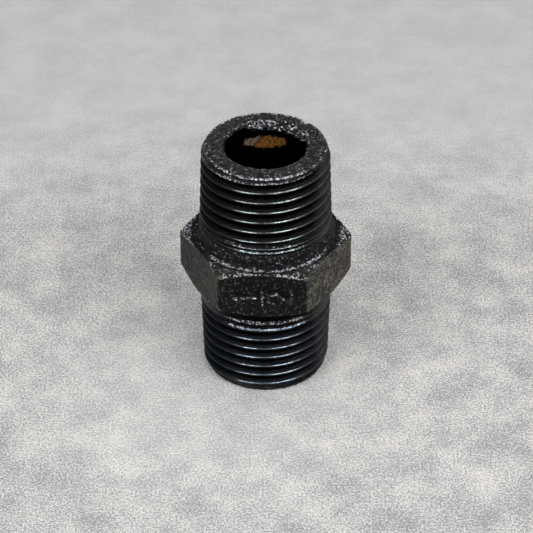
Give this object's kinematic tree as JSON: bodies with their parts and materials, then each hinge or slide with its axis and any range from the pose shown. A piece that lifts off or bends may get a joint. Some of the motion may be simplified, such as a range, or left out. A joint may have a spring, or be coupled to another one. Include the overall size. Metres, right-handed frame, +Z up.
{
  "type": "double nipple",
  "caption": "Black iron hexagon nipple: a short pipe coupling with a tapered male thread at each end, a spanner hexagon between them and a plain through bore.",
  "frame": {"origin": "middle of the lower end face, on the bore's axis", "axes": "+Z up along the bore to the other end; +X and -X out of two opposite flats of the hexagon; two corners of the hexagon lie on Y"},
  "size_m": [0.0242, 0.0278, 0.0416],
  "materials": {
    "black_iron": "black lacquer over rough cast and threaded iron"
  },
  "bodies": {
    "root": {"nipple_body": "black_iron"}
  },
  "joints": []
}
